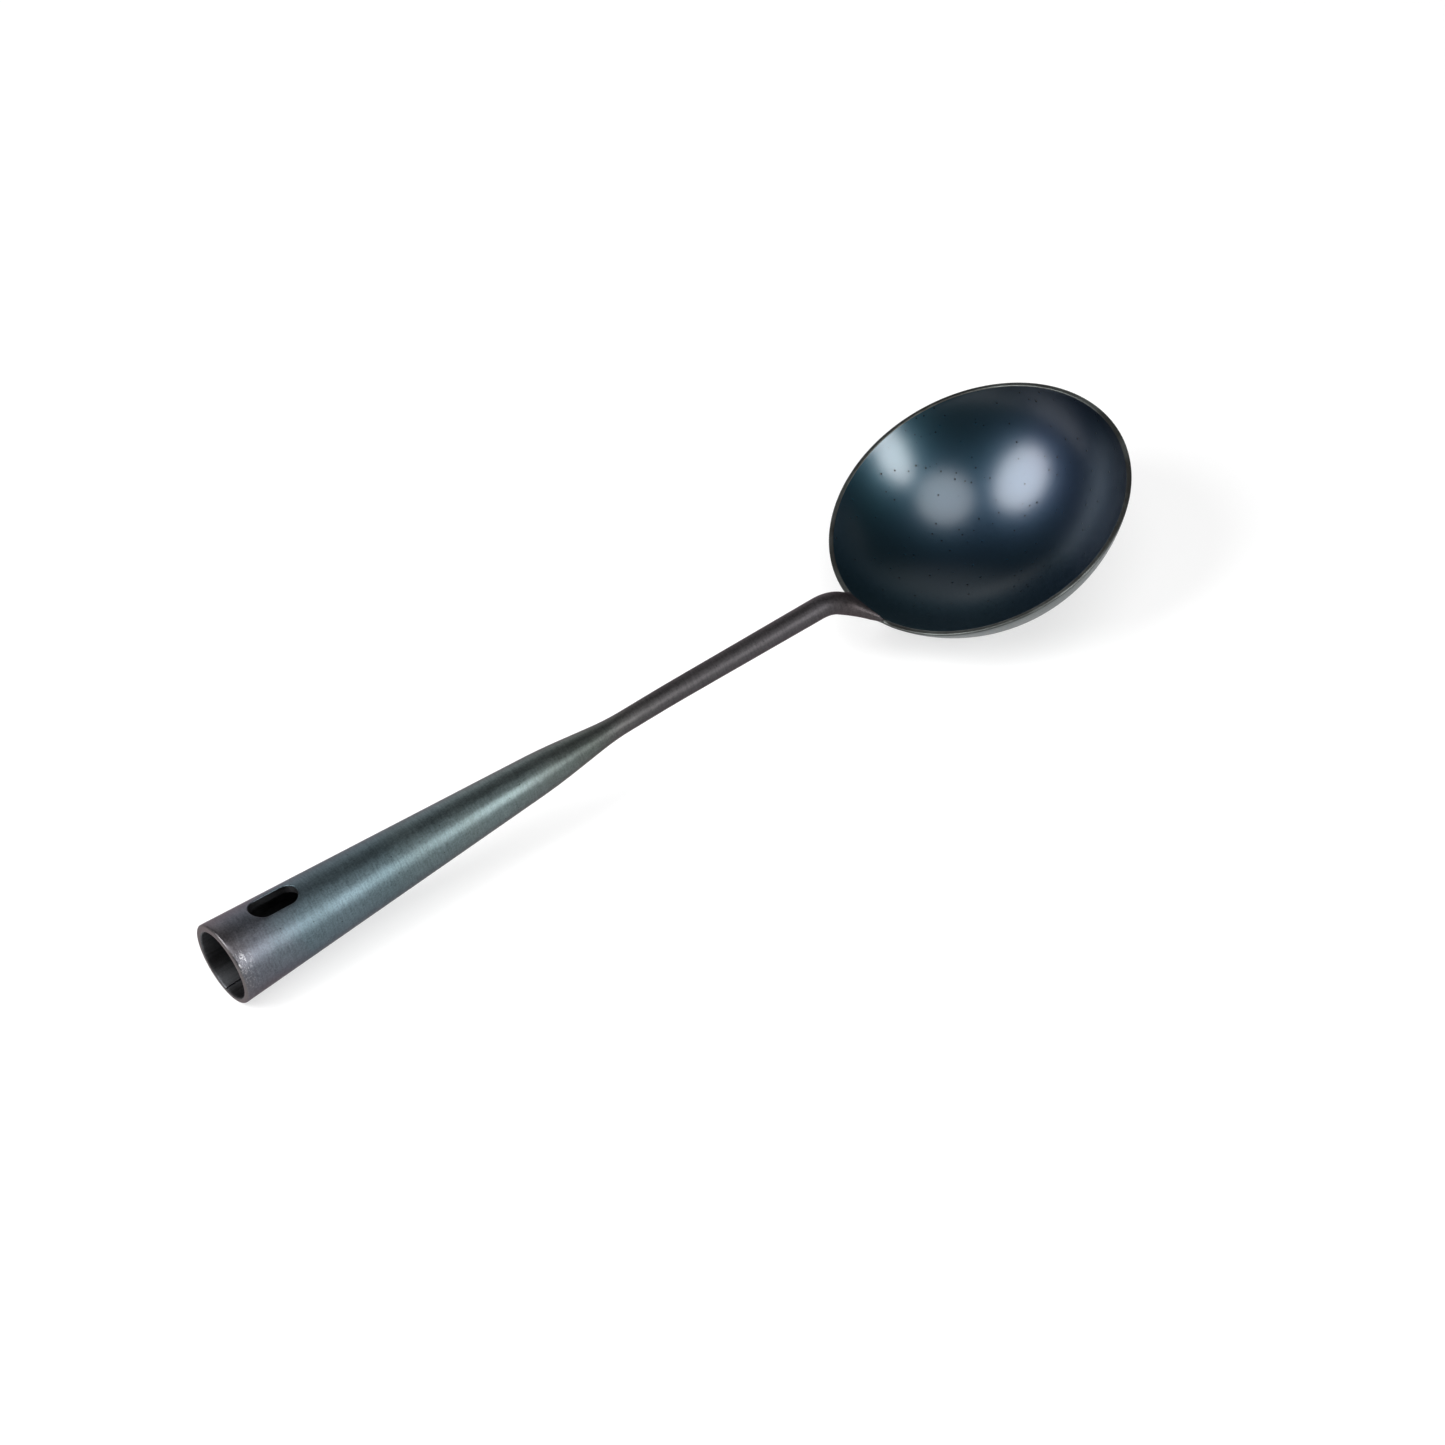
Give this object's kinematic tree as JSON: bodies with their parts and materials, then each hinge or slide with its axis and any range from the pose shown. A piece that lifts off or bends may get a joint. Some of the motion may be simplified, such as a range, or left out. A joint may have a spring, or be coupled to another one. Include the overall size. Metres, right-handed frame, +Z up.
{
  "type": "wok ladle",
  "caption": "One-piece steel wok ladle with a shallow round bowl, a bent rod neck and a hollow tapered handle that has a hanging slot near its open end.",
  "frame": {"origin": "centre of the bottom of the box round the ladle as it rests on a table", "axes": "+X from the handle's open end to the bowl, +Y across the bowl, +Z up, the XZ plane is the plane of symmetry"},
  "size_m": [0.3886, 0.116, 0.0563],
  "materials": {
    "blued_steel": "heat-blued steel, satin inside the bowl and finely brushed on the handle"
  },
  "bodies": {
    "root": {"wok_ladle": "blued_steel"}
  },
  "joints": []
}
